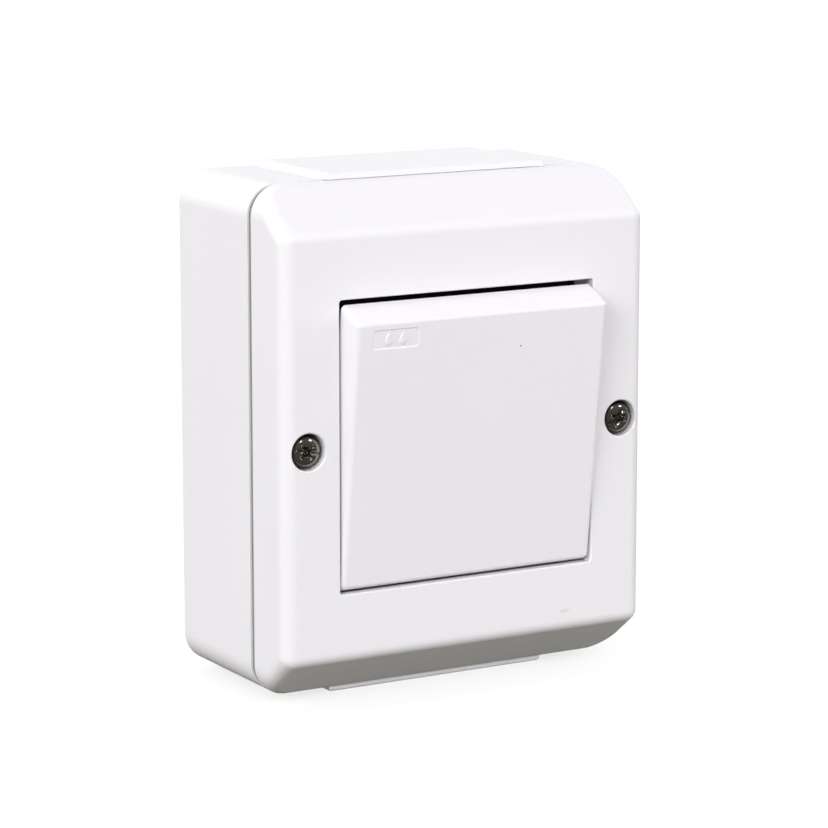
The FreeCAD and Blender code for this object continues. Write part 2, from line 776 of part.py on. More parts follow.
def mechanism_frame():
    """Bearing frame: a plate with two snap-in bearing ears, clip hooks and staked pins."""
    plate = rounded_block(frame_width / 2, frame_height / 2, base_corner_radius,
                          frame_rear, frame_front)
    window = mid_block(ear_inner, frame_rear - cut_past, frame_front + cut_past, drum_window_height / 2)
    cuts = [window]
    for x, z in terminal_places:
        cuts.append(rod(access_diameter / 2, frame_rear - cut_past, frame_front + cut_past, x, z))
    plate = plate.cut(cuts)
    ear_outer = ear_inner + ear_thickness
    added = []
    bores = []
    half = base_size / 2
    for side in (-1, 1):
        ear = side_block(side, ear_inner, ear_outer, frame_rear, pivot_depth,
                         -ear_half_width, ear_half_width)
        round_end = cross_rod(ear_half_width, ear_outer, pivot_depth)
        round_end = round_end.common(side_block(side, ear_inner, ear_outer, 0, body_depth,
                                                -half, half))
        added.append(ear.fuse(round_end))
        for z in (-hook_place, hook_place):
            leg_inner = half + clip_clearance
            leg_low = base_front - hook_length
            added.append(side_block(side, leg_inner, leg_inner + hook_leg, leg_low, frame_front,
                                    z - hook_leg_width / 2, z + hook_leg_width / 2))
            added.append(side_block(side, half - hook_catch, leg_inner, leg_low,
                                    leg_low + hook_head,
                                    z - hook_leg_width / 2, z + hook_leg_width / 2))
        for z in (-stake_place_z, stake_place_z):
            x = side * stake_place_x
            added.append(rod(stake_diameter / 2, frame_front, yoke_front, x, z))
            added.append(rod(stake_head_diameter / 2, yoke_front,
                             yoke_front + stake_head_height, x, z))
    bores.append(cross_rod(trunnion_diameter / 2 + bearing_clearance, ear_outer + cut_past,
                           pivot_depth))
    bores.append(mid_block(ear_outer + cut_past, pivot_depth, pivot_depth + 2 * ear_half_width,
                           snap_slot_half))
    return plate.fuse(added).cut(bores).removeSplitter()


def support_frame():
    """Folded sheet with a window for the bearings, two long screw holes and stiffened sides."""
    half_x = yoke_width / 2
    plate = rounded_block(half_x, yoke_height / 2, base_corner_radius, frame_front, yoke_front)
    flanges = []
    for side in (-1, 1):
        flange = side_block(side, half_x - yoke_sheet, half_x, yoke_front - yoke_flange,
                            yoke_front, -yoke_flange_height / 2, yoke_flange_height / 2)
        outer = side * half_x
        fold = [e for e in edges_at_depth(flange, yoke_front - yoke_flange)
                if abs(e.BoundBox.XMin - outer) < same_place
                and abs(e.BoundBox.XMax - outer) < same_place]
        flanges.append(flange.makeFillet(yoke_bend_radius / 2, fold))
    body = plate.fuse(flanges)
    cuts = [mid_block(yoke_window_width / 2, 0, body_depth, yoke_window_height / 2)]
    for x in (-stake_place_x, stake_place_x):
        for z in (-stake_place_z, stake_place_z):
            cuts.append(rod(stake_diameter / 2, 0, body_depth, x, z))
    straight = (yoke_slot_length - yoke_slot_width) / 2
    for z in (-yoke_screw_spacing / 2, yoke_screw_spacing / 2):
        cuts.append(block(-straight, straight, 0, body_depth,
                          z - yoke_slot_width / 2, z + yoke_slot_width / 2))
        for x in (-straight, straight):
            cuts.append(rod(yoke_slot_width / 2, 0, body_depth, x, z))
    return body.cut(cuts).removeSplitter()


def rocker_seal():
    """Moulded rubber sheet on the collar's end, raised round the bearings, with lips on the drum."""
    front = collar_depth
    rear = collar_depth - seal_thickness
    edge_x = collar_inner_x + collar_wall - seal_edge_gap
    edge_z = collar_inner_z + collar_wall - seal_edge_gap
    sheet = mid_block(edge_x, rear, front, edge_z)
    bead_x = collar_inner_x - groove_clearance
    bead_z = collar_inner_z - groove_clearance
    bead = mid_block(bead_x, front, front + bead_height, bead_z)
    bead = bead.cut(mid_block(bead_x - bead_width, front - cut_past, front + bead_height + cut_past,
                              bead_z - bead_width))
    inner_x = ear_inner + ear_thickness + turret_room_x
    outer_x = inner_x + seal_thickness
    inner_z = turret_half_height - seal_thickness
    turret = rounded_block(outer_x, turret_half_height, seal_thickness, rear, turret_top)
    body = sheet.fuse([bead, turret])
    body = body.cut(mid_block(inner_x, rear - cut_past, turret_top - seal_thickness, inner_z))
    window = cross_rod(drum_radius + seal_lip_gap, ear_inner, pivot_depth)
    return body.cut(window).removeSplitter()


def group(shapes):
    """Separate solids kept together as one sub-part."""
    return Part.makeCompound(shapes)


def build():
    """Every sub-part in its place at rest, with the rocker pressed at the bottom."""
    at_rest = rocker_tilt
    lever_rest = -lever_tilt
    return {
        "rear_housing": rear_housing(),
        "cable_entry_plate_top": cable_entry_plate(1),
        "cable_entry_plate_bottom": cable_entry_plate(-1),
        "housing_gasket": housing_gasket(),
        "front_cover": front_cover(),
        "cover_screws": group([cover_screw(side) for side in (-1, 1)]),
        "cover_screw_seals": group([cover_screw_seal(side) for side in (-1, 1)]),
        "rocker_seal": rocker_seal(),
        "rocker": turned(rocker(), pivot_depth, at_rest),
        "toggle": turned(toggle(), pivot_depth, at_rest),
        "toggle_spring": turned(toggle_spring(), pivot_depth, at_rest),
        "spring_plunger": turned(spring_plunger(), pivot_depth, at_rest),
        "contact_lever": turned(contact_lever(), lever_depth, lever_rest),
        "moving_contact_tips": group([turned(moving_contact_tip(end), lever_depth, lever_rest)
                                      for end in (-1, 1)]),
        "fixed_contact_tips": group([fixed_contact_tip(end) for end in (-1, 1)]),
        "fixed_contact_upper": fixed_contact_strip(1),
        "fixed_contact_lower": fixed_contact_strip(-1),
        "common_terminal": common_terminal(),
        "terminal_clamps": group([terminal_clamp(x, z) for x, z in terminal_places]),
        "terminal_screws": group([terminal_screw(x, z) for x, z in terminal_places]),
        "mechanism_base": mechanism_base(),
        "mechanism_frame": mechanism_frame(),
        "support_frame": support_frame(),
        "support_frame_screws": group([support_frame_screw(end) for end in (-1, 1)]),
    }


os.makedirs("parts", exist_ok=True)
for name, shape in build().items():
    shape.exportStep("parts/" + name + ".step")
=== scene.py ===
# Visual model of a surface-mounted weatherproof rocker switch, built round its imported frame.
# Lengths are metres in the frame's own axes: +X right, +Z up, +Y into the wall.

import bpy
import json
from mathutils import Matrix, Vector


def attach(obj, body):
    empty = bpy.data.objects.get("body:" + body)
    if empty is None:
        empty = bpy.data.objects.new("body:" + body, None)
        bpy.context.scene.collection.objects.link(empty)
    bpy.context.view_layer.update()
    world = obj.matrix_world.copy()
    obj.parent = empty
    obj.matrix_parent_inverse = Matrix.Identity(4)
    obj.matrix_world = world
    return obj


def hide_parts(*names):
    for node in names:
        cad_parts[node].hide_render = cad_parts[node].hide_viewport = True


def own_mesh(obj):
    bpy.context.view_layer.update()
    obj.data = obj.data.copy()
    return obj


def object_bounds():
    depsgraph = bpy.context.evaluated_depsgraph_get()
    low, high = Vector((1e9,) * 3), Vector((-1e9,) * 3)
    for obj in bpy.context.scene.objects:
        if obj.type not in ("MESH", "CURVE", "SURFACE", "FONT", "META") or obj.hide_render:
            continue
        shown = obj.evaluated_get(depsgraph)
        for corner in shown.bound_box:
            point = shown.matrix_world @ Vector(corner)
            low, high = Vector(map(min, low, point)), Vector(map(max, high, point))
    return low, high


bl_info = {
    "name": "Weatherproof Switch Visual",
    "version": (1, 0, 0),
    "blender": (4, 5, 0),
    "location": "3D View > Sidebar > Switch",
    "description": "Finishes, screws, spring, rocker mark and studio for a weatherproof switch",
    "category": "Object",
}

import json
import math
from collections import namedtuple

import bpy
import numpy as np
from bpy.props import FloatProperty, FloatVectorProperty, IntProperty, PointerProperty

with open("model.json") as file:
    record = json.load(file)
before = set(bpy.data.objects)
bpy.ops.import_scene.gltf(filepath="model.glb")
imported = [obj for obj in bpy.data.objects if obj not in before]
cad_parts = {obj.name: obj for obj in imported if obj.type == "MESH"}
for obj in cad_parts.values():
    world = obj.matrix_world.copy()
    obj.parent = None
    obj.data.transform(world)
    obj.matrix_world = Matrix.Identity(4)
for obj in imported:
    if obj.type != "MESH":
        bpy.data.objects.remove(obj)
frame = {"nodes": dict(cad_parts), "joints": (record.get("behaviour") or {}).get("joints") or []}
cad_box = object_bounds()

MM = 0.001
JOINTS = {joint["name"]: joint for joint in frame["joints"]}
PIVOT = np.array(JOINTS["rocker_tilt"]["pos_m"], float)
FACE_NORMAL = np.array(JOINTS["plunger_slide"]["axis"], float)
FACE_RIGHT = np.array([1.0, 0.0, 0.0])
FACE_UP = np.cross(FACE_NORMAL, FACE_RIGHT)

WHITE_MOULDINGS = ("front_cover", "rear_housing", "cable_entry_plate_top",
                   "cable_entry_plate_bottom")
GREY_MOULDINGS = ("toggle", "mechanism_frame")
DARK_MOULDINGS = ("mechanism_base", "spring_plunger")
DARK_RUBBER_PARTS = ("rocker_seal", "cover_screw_seals")
ZINC_PARTS = ("support_frame",)
BRASS_PARTS = ("common_terminal", "fixed_contact_upper", "fixed_contact_lower", "terminal_clamps")
COPPER_PARTS = ("contact_lever",)
SILVER_PARTS = ("moving_contact_tips", "fixed_contact_tips")


def shade(red, green, blue):
    """Scene-linear colour of a display colour whose channels run from 0 to 255.

    The numbers are those of the sRGB curve.
    """
    display = np.array([red, green, blue]) / 255.0
    linear = np.where(display <= 0.04045, display / 12.92, ((display + 0.055) / 1.055) ** 2.4)
    return tuple(float(channel) for channel in linear)


def colour_property(label, text, colour):
    """Colour setting of a finish."""
    return FloatVectorProperty(name=label, description=text, subtype="COLOR", size=3,
                               min=0.0, max=1.0, default=colour)


def length_property(label, text, size):
    """Length setting in metres."""
    return FloatProperty(name=label, description=text, unit="LENGTH", precision=5, min=0.0,
                         default=size)


def angle_property(label, text, degrees):
    """Angle setting, given in degrees."""
    return FloatProperty(name=label, description=text, subtype="ANGLE",
                         default=math.radians(degrees))


def level_property(label, text, level):
    """Brightness setting."""
    return FloatProperty(name=label, description=text, min=0.0, default=level)


class SwitchFinishSettings(bpy.types.PropertyGroup):
    """Colours of the mouldings, rubber and metal."""

    white: colour_property("White Moulding", "Cover, box and entry plates", shade(240, 238, 243))
    rocker: colour_property("Rocker", "Rocker face and its relief", shade(243, 240, 246))
    seam: colour_property("Gasket", "Gasket between box and cover", shade(140, 140, 136))
    seal: colour_property("Dark Rubber", "Seal behind the rocker", shade(26, 26, 18))
    grey: colour_property("Grey Moulding", "Toggle and bearing frame", shade(186, 187, 188))
    dark: colour_property("Dark Moulding", "Mechanism base and plunger", shade(58, 58, 61))
    head: colour_property("Cover Screw", "Plating of the cover screws", shade(178, 174, 163))
    zinc: colour_property("Zinc Plate", "Support frame and inner screws", shade(200, 203, 208))
    brass: colour_property("Brass", "Strips and clamps", shade(214, 178, 106))
    copper: colour_property("Contact Lever", "Phosphor bronze", shade(205, 148, 110))
    silver: colour_property("Contact Silver", "Contact tips", shade(222, 221, 216))


class SwitchScrewSettings(bpy.types.PropertyGroup):
    """Sizes of the screws' heads, recesses and threads."""

    rim: length_property("Rim", "Height of the straight rim under a cover screw's dome", 1.0 * MM)
    dome: length_property("Dome", "Height of a cover screw's dome over its rim", 1.6 * MM)
    head_spread: FloatProperty(name="Head Spread", subtype="FACTOR",
                               description="Radius of the cover screws' heads over the CAD's",
                               min=0.9, max=1.08, default=1.04)
    recess_depth: length_property("Recess Depth", "Depth of the cross at its middle", 1.0 * MM)
    arm_length: length_property("Arm Length", "Middle of the head to the end of an arm", 2.0 * MM)
    arm_width: length_property("Arm Width", "Width of an arm of the cross", 0.95 * MM)
    slot_length: length_property("Slot Length", "Middle of the head to the slot's end", 2.7 * MM)
    slot_width: length_property("Slot Width", "Width of the slot", 0.85 * MM)
    slot_depth: length_property("Slot Depth", "Depth of the slot", 0.35 * MM)
    wall_run: length_property("Wall Run", "Run of a recess wall from top to floor", 0.4 * MM)
    pitch: length_property("Pitch", "Pitch of the cover screws' thread", 1.25 * MM)
    thread_depth: length_property("Thread Depth", "Height of the cover screws' thread", 0.4 * MM)
    neck: length_property("Neck", "Plain length under the head", 9.0 * MM)
    fine_pitch: length_property("Fine Pitch", "Pitch of the inner screws' thread", 0.5 * MM)
    fine_depth: length_property("Fine Depth", "Height of the inner screws' thread", 0.24 * MM)
    left_turn: angle_property("Left Turn", "Turn of the left cover screw's recess", -12.0)
    right_turn: angle_property("Right Turn", "Turn of the right cover screw's recess", 24.0)


class SwitchSpringSettings(bpy.types.PropertyGroup):
    """Winding of the toggle's compression spring."""

    wire: length_property("Wire", "Wire diameter", 0.5 * MM)
    turns: FloatProperty(name="Turns", description="Turns in all, closed ends included",
                         min=3.0, default=7.5)
    steps: IntProperty(name="Steps per Turn", description="Rings of the wire in one turn",
                       min=12, default=40)


class SwitchMarkSettings(bpy.types.PropertyGroup):
    """Sunk field with two raised drops on the rocker's face."""

    across: FloatProperty(name="Across", description="Middle of the field, right of the centre",
                          unit="LENGTH", precision=5, default=-18.75 * MM)
    up: length_property("Up", "Middle of the field above the rocker's axis", 22.1 * MM)
    width: length_property("Width", "Width of the field", 9.9 * MM)
    height: length_property("Height", "Height of the field", 3.7 * MM)
    edge: length_property("Edge", "Width of the field's sloping edge", 0.19 * MM)
    sunk: length_property("Sunk", "Depth of the sunk field", 0.12 * MM)
    rise: length_property("Rise", "How far the drops stand out of the field's floor", 0.2 * MM)
    drop: length_property("Drop", "Height of a drop", 2.5 * MM)


class SwitchStageSettings(bpy.types.PropertyGroup):
    """Camera, lamps and surroundings."""

    camera_place: FloatVectorProperty(name="Camera Place", description="Where the camera stands",
                                      subtype="TRANSLATION", unit="LENGTH", size=3,
                                      default=(-0.32092, -0.57271, 0.12001))
    camera_turn: angle_property("Camera Turn", "Turn to the right from +Y", 30.213)
    camera_dip: angle_property("Camera Dip", "Slope below the horizon", 10.597)
    lens: FloatProperty(name="Lens", description="Focal length on a frame 36 mm wide",
                        unit="CAMERA", default=146.80)
    key: level_property("Key", "Light of the front left lamp on a facing wall", 0.37)
    rear: level_property("Rear", "Light of the lamp above and behind on a facing wall", 0.10)
    spark: level_property("Spark", "Light of each small lamp for metal glints", 0.03)
    tent: level_property("Tent", "Brightness of the light tent's side walls", 1.92)
    roof: level_property("Roof", "Brightness of the light tent's roof", 0.10)
    mirrored: level_property("Mirrored", "Brightness of the tent seen in gloss", 1.0)
    room: FloatProperty(name="Room", description="Share of that brightness in front of the object",
                        subtype="FACTOR", min=0.0, max=1.0, default=0.12)


class SwitchSettings(bpy.types.PropertyGroup):
    """All settings of the switch's visual model."""

    finish: PointerProperty(type=SwitchFinishSettings, name="Finish")
    screws: PointerProperty(type=SwitchScrewSettings, name="Screws")
    spring: PointerProperty(type=SwitchSpringSettings, name="Spring")
    mark: PointerProperty(type=SwitchMarkSettings, name="Mark")
    stage: PointerProperty(type=SwitchStageSettings, name="Stage")


# Meshes

ARM_TAPER = 0.8  # run of a cross arm's rising floor, over the arm's length
DEEPEST_RECESS = 0.9  # depth of a recess at most, over the head's height there
HALF_RIDGE = 0.32  # half width of a thread's ridge at its foot, over the pitch
TIP_ROUNDING = 0.6  # how much of a round end a screw's tip has
SEAT_RINGS = 4  # rings under a screw's head, those at its rim and its shank counted
RINGS_PER_PITCH = 8  # rings of a screw's shank in one pitch of its thread
RIM_BAND = 0.98  # share of a CAD head's radius past which a point lies on its rim

# Painted shade on the screws: dark in recesses, under heads, along shanks and at rims.
RECESS_PAINTED_SHADE = 0.6  # painted shade in a recess
SEAT_PAINTED_SHADE = 0.5  # painted shade under a head
SHANK_PAINTED_SHADE = 0.3  # painted shade along a shank
RECESS_SHADE_START = 0.1  # depth at which painted shade starts in a recess, over the dome's height
RECESS_SHADE_RUN = 0.2  # further depth over which it grows, over the dome's height
RIM_SHADE_START = 0.76  # share of the head's radius at which painted shade starts towards the rim
RIM_SHADE_RUN = 0.1  # share of the radius over which it grows

SCREW_GAP = 2.0 * MM  # the gaps between inner screws are wider than this
SCREW_REACH = 4.0 * MM  # no inner screw reaches further than this from its middle
SLOT_TURN = 0.9  # turn in radians from one inner screw's slot to the next one's
WIRE_SIDES = 16  # sides of the spring wire's section

FIELD_CORNER = 0.8 * MM  # radius of the sunk field's corners at the rocker's face
DROP_BREADTH = 0.42  # scale of a drop's x, over the drop's height
DROP_POINT = 1.6  # power that draws a drop's upper end to a point
DROP_PLACE = 0.6  # way from the field's middle to a drop's, over the drop's height
DROP_SIDES = 96  # points of a drop's outline
DROP_SPREADS = (0.0, 1.0, 0.97, 0.85, 0.6, 0.3, 0.0)  # size of each ring, over the outline
DROP_LEVELS = (-0.15, -0.15, 0.6, 0.92, 0.98, 1.0, 1.0)  # height of each ring, over the rise


def node_points(name):
    """Vertices of a CAD node as an array of points."""
    data = frame["nodes"][name].data
    flat = np.empty(len(data.vertices) * 3)
    data.vertices.foreach_get("co", flat)
    return flat.reshape(-1, 3)


def lofted(rings):
    """Shape of rings that close round, from one end point to the other.

    rings is an array (ring, sector, column) whose first and last ring are each a single point.
    Every four neighbours make a face, and the two ends are fans.
    """
    count, sectors = rings.shape[:2]
    points = np.concatenate([rings[:1, 0], rings[1:-1].reshape(-1, rings.shape[2]), rings[-1:, 0]])
    here = 1 + np.arange((count - 2) * sectors).reshape(count - 2, sectors)
    beside = np.roll(here, -1, axis=1)
    quads = np.stack([here[:-1], beside[:-1], beside[1:], here[1:]], axis=-1).reshape(-1, 4)
    first = np.stack([np.zeros(sectors, int), beside[0], here[0]], axis=-1)
    last = np.stack([np.full(sectors, len(points) - 1), here[-1], beside[-1]], axis=-1)
    return points, first.tolist() + quads.tolist() + last.tolist()


def outward(points, faces):
    """The faces, turned round if the volume that they enclose comes out negative.

    The volume is a sixth of the sum of the box products of each face's first three corners about
    the middle, which has the right sign for these even surfaces.
    """
    corners = np.array([face[:3] for face in faces])
    a, b, c = (points[corners[:, k], :3] - points[:, :3].mean(axis=0) for k in range(3))
    if np.einsum("ij,ij->", a, np.cross(b, c)) < 0:
        return [face[::-1] for face in faces]
    return faces


def placed(name, data):
    """New object of a mesh, lamp or camera, in the scene."""
    made = bpy.data.objects.new(name, data)
    bpy.context.scene.collection.objects.link(made)
    return made


def piece(name, shapes, body, material, sharp=35.0):
    """Object of one or more closed shapes, riding on a body.

    A fourth column of the points is kept as a point attribute of painted shade, from 0 for
    none to 1 for the darkest. Edges that turn by more than sharp degrees stay hard.
    """
    points = []
    faces = []
    offset = 0
    for shape_points, shape_faces in shapes:
        points.append(shape_points)
        turned = outward(shape_points, shape_faces)
        faces += [[offset + corner for corner in face] for face in turned]
        offset += len(shape_points)
    data = bpy.data.meshes.new(name)
    points = np.concatenate(points)
    data.from_pydata(points[:, :3].tolist(), [], faces)
    # A fourth column is painted shade, kept as a point attribute.
    if points.shape[1] == 4:
        data.attributes.new("painted_shade", "FLOAT", "POINT").data.foreach_set("value", points[:, 3])
    data.shade_smooth()
    data.set_sharp_from_angle(angle=math.radians(sharp))
    data.materials.append(material)
    made = placed(name, data)
    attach(made, body)
    return made


def arm_depth(along, across, length, width, run, wall):
    """Depth, as a share, of a straight groove: full in the middle, with sloping walls and ends."""
    sides = np.clip((width / 2 - np.abs(across)) / wall, 0.0, 1.0)
    ends = np.clip((length - np.abs(along)) / run, 0.0, 1.0)
    return sides * ends


def cross_and_slot(x, z, turn, sizes):
    """Depth of a cross recess, deepest in the middle, with a slot halfway between its arms.

    A point is turned into the recess's own axes, and the depth is the largest of two tapering
    arms, a conical middle and the slot.
    """
    a = x * math.cos(turn) + z * math.sin(turn)
    b = z * math.cos(turn) - x * math.sin(turn)
    p = (a + b) * math.sqrt(0.5)
    q = (b - a) * math.sqrt(0.5)
    taper = sizes.arm_length * ARM_TAPER
    arms = [arm_depth(p, q, sizes.arm_length, sizes.arm_width, taper, sizes.wall_run),
            arm_depth(q, p, sizes.arm_length, sizes.arm_width, taper, sizes.wall_run)]
    middle = np.clip((sizes.arm_width - np.hypot(p, q)) / (sizes.arm_width / 2), 0.0, 1.0)
    slot = arm_depth(a, b, sizes.slot_length, sizes.slot_width, sizes.wall_run, sizes.wall_run)
    return np.maximum.reduce([sizes.recess_depth * arms[0], sizes.recess_depth * arms[1],
                              sizes.recess_depth * middle, sizes.slot_depth * slot])


def plain_slot(x, z, turn, sizes):
    """Depth of a plain slot that runs right across a head, twice as deep as the other slot."""
    b = z * math.cos(turn) - x * math.sin(turn)
    return 2 * sizes.slot_depth * np.clip((sizes.slot_width / 2 - np.abs(b)) / sizes.wall_run, 0, 1)


def screw(centre, head_radius, dome, shank_radius, length, recess, power, thread, sectors,
          rim=0.0):
    """Screw along the depth axis, as rings from the middle of its head to its tip.

    centre is the middle of the seat. The head's height over the seat is rim plus
    dome * (1 - (r / R)^power)^(1 / power), less the recess's depth at that place. The shank's
    radius is its core plus the thread's height times a narrow triangle wave of the distance along
    the screw over the pitch, less the angle round it over a full turn. Painted shade lies in the
    recess and round the rim, and more faintly under the head and along the shank.
    """
    pitch, depth, neck = thread
    angle = np.linspace(0.0, 2 * math.pi, sectors, endpoint=False)[None, :]
    all_round = np.ones_like(angle)
    rise = np.sin(np.linspace(0.0, math.pi / 2, sectors // 2))[:, None]
    top_r = head_radius * rise * all_round
    top_h = rim + dome * (1 - rise ** power) ** (1 / power)
    sunk = recess(top_r * np.cos(angle), top_r * np.sin(angle))
    sunk = np.minimum(sunk, top_h * DEEPEST_RECESS)
    # Painted shade grows with the recess's depth and towards the rim.
    inner_shade = np.clip((sunk - RECESS_SHADE_START * dome) / (RECESS_SHADE_RUN * dome), 0.0, 1.0)
    outer_shade = np.clip((rise - RIM_SHADE_START) / RIM_SHADE_RUN, 0.0, 1.0) * all_round
    top_shade = np.maximum(RECESS_PAINTED_SHADE * inner_shade, outer_shade)

    # A head without a straight rim ends in the first ring of its seat.
    seat_radii = np.linspace(head_radius, shank_radius, SEAT_RINGS)[0 if rim else 1:-1]
    seat_r = seat_radii[:, None] * all_round

    down = np.linspace(0.0, length, int(length / pitch * RINGS_PER_PITCH))[:, None]
    wave = np.mod(down / pitch - angle / (2 * math.pi), 1.0)
    crest = np.clip(1.0 - np.abs(wave - 0.5) / HALF_RIDGE, 0.0, 1.0)
    thread_start = np.clip((down - neck) / pitch, 0.0, 1.0)
    thread_end = np.clip((length - down) / (2 * pitch), 0.0, 1.0)
    shank_r = shank_radius - depth * (1 - crest * (thread_start * thread_end))
    tip = np.clip((length - down) / shank_radius, 0.0, 1.0)
    shank_r = shank_r * np.sqrt(1 - (1 - tip) ** 2 * TIP_ROUNDING)

    end_r = np.zeros_like(angle)
    radii = np.concatenate([top_r, seat_r, shank_r, end_r])
    heights = np.concatenate([top_h - sunk, 0 * seat_r, -down * all_round, end_r - length])
    # Painted shade is even under the head and along the shank.
    painted_shade = np.concatenate([top_shade, np.full_like(seat_r, SEAT_PAINTED_SHADE),
                           np.full_like(shank_r, SHANK_PAINTED_SHADE), end_r])
    return lofted(np.stack([centre[0] + radii * np.cos(angle), centre[1] - heights,
                            centre[2] + radii * np.sin(angle), painted_shade], axis=-1))


def islands(points, axis, reach):
    """Middles of the groups of points that lie further than reach apart along one axis."""
    order = np.sort(points[:, axis])
    breaks = np.nonzero(np.diff(order) > reach)[0]
    starts = np.concatenate([[order[0]], order[breaks + 1]])
    ends = np.concatenate([order[breaks], [order[-1]]])
    return [(low + high) / 2 for low, high in zip(starts, ends)]


def head_and_shank(points):
    """Seat depth, head radius, head height, shank radius and length of an upright CAD screw."""
    middle = (points.min(axis=0) + points.max(axis=0)) / 2
    radii = np.hypot(points[:, 0] - middle[0], points[:, 2] - middle[2])
    head_radius = radii.max()
    top = points[:, 1].min()
    seat = points[radii > RIM_BAND * head_radius, 1].max()
    tip = points[:, 1].max()
    shank_radius = radii[points[:, 1] > (seat + tip) / 2].max()
    centre = np.array([middle[0], seat, middle[2]])
    return centre, head_radius, seat - top, shank_radius, tip - seat


def spring_shape(sizes):
    """Round wire wound in a helix with closed ends, in the toggle's bore.

    The wire's middle is at radius r and angle 2 pi n. Its place along the axis rises by one wire
    for each of the first and last turn and evenly between them, and the section is a circle in
    the plane of the radius and the normal to both radius and tangent.
    """
    points = node_points("toggle_spring") - PIVOT
    along = points @ FACE_NORMAL
    radius = np.linalg.norm(points - along[:, None] * FACE_NORMAL, axis=1).max() - sizes.wire / 2
    low = along.min() + sizes.wire / 2
    high = along.max() - sizes.wire / 2
    n = np.linspace(0.0, sizes.turns, int(sizes.turns * sizes.steps))
    place = np.interp(n, [0.0, 1.0, sizes.turns - 1.0, sizes.turns],
                      [low, low + sizes.wire, high - sizes.wire, high])
    angle = 2 * math.pi * n
    spoke = np.cos(angle)[:, None] * FACE_RIGHT + np.sin(angle)[:, None] * FACE_UP
    line = PIVOT + place[:, None] * FACE_NORMAL + radius * spoke
    tangent = np.gradient(line, axis=0)
    tangent /= np.linalg.norm(tangent, axis=1)[:, None]
    across = np.cross(tangent, spoke)
    turn = np.linspace(0.0, 2 * math.pi, WIRE_SIDES, endpoint=False)[None, :, None]
    rings = line[:, None] + sizes.wire / 2 * (np.cos(turn) * spoke[:, None]
                                              + np.sin(turn) * across[:, None])
    ends = np.repeat(line[[0, -1], None], rings.shape[1], axis=1)
    return lofted(np.concatenate([ends[:1], rings, ends[1:]]))


def on_face(across, up, out):
    """Points on the rocker's face plane: across to the right, up along the face, out of it."""
    face = ((node_points("rocker") - PIVOT) @ FACE_NORMAL).max()
    return (PIVOT + across[..., None] * FACE_RIGHT + up[..., None] * FACE_UP
            + (face + out)[..., None] * FACE_NORMAL)


def rounded_outline(half_width, half_height, radius, count=12):
    """Corner points of a rectangle whose corners are quarter circles, anticlockwise."""
    turn = np.linspace(0.0, math.pi / 2, count)
    start = np.arange(4) * math.pi / 2
    angle = (start[:, None] + turn[None, :]).ravel()
    way_x = np.repeat([1.0, -1.0, -1.0, 1.0], count)
    way_z = np.repeat([1.0, 1.0, -1.0, -1.0], count)
    return (way_x * (half_width - radius) + radius * np.cos(angle),
            way_z * (half_height - radius) + radius * np.sin(angle))


def field_cutter(sizes):
    """Tool for the sunk field: rounded rectangles that widen evenly from its floor outwards.

    The floor is at -sunk, the wall runs out by edge over that depth, and goes on at the same
    slope to twice the height, so that it passes clear through the face.
    """
    level = np.array([-1.0, -1.0, 1.0, 1.0]) * sizes.sunk
    spread = np.array([0.0, -1.0, 1.0, 0.0]) * sizes.edge
    filled = np.array([0.0, 1.0, 1.0, 0.0])
    rings = []
    for out, wider, whole in zip(level, spread, filled):
        x, z = rounded_outline(sizes.width / 2 + wider, sizes.height / 2 + wider,
                               FIELD_CORNER + wider)
        rings.append(on_face(sizes.across + whole * x, sizes.up + whole * z, out * np.ones_like(x)))
    return lofted(np.array(rings))


def merged_node(name):
    """Points and triangles of a CAD node whose loose triangles are joined at equal corners."""
    data = frame["nodes"][name].data
    corners = np.empty(len(data.loops), int)
    data.loops.foreach_get("vertex_index", corners)
    points, place = np.unique(node_points(name), axis=0, return_inverse=True)
    return points, place.ravel()[corners].reshape(-1, 3)


def applied(made):
    """Mesh of an object with its modifiers applied; they are taken off it."""
    graph = bpy.context.evaluated_depsgraph_get()
    finished = bpy.data.meshes.new_from_object(made.evaluated_get(graph))
    made.modifiers.clear()
    return finished


def cut_by(made, cutter, sharp):
    """Cuts a closed shape out of an object's mesh, and weighs its normals by the faces' areas.

    Edges that turn by more than sharp degrees stay hard.
    """
    data = bpy.data.meshes.new("cutter")
    data.from_pydata(cutter[0].tolist(), [], outward(*cutter))
    tool = placed("cutter", data)
    cut = made.modifiers.new("Cut", "BOOLEAN")
    cut.operation = "DIFFERENCE"
    cut.solver = "EXACT"
    cut.object = tool
    made.data = applied(made)
    made.data.set_sharp_from_angle(angle=math.radians(sharp))
    weigh = made.modifiers.new("Weighted Normals", "WEIGHTED_NORMAL")
    weigh.keep_sharp = True
    made.data = applied(made)
    bpy.data.objects.remove(tool)


def drop_relief(sizes, side):
    """Raised drop, whose outline is x = sin t * sin(t / 2)^1.6 and z = cos t, and whose top is
    a flat dome over the scaled outline; it stands on the floor of the sunk field."""
    t = np.linspace(0.0, 2 * math.pi, DROP_SIDES, endpoint=False)[None, :]
    spread = np.array(DROP_SPREADS)[:, None]
    level = sizes.rise * np.array(DROP_LEVELS)[:, None]
    breadth = DROP_BREADTH * sizes.drop
    x = breadth * np.sin(t) * np.abs(np.sin(t / 2)) ** DROP_POINT * spread
    z = sizes.drop / 2 * np.cos(t) * spread
    middle = sizes.across + side * DROP_PLACE * sizes.drop
    return lofted(on_face(middle + x, sizes.up + z, (level - sizes.sunk) * np.ones_like(t)))


# Materials

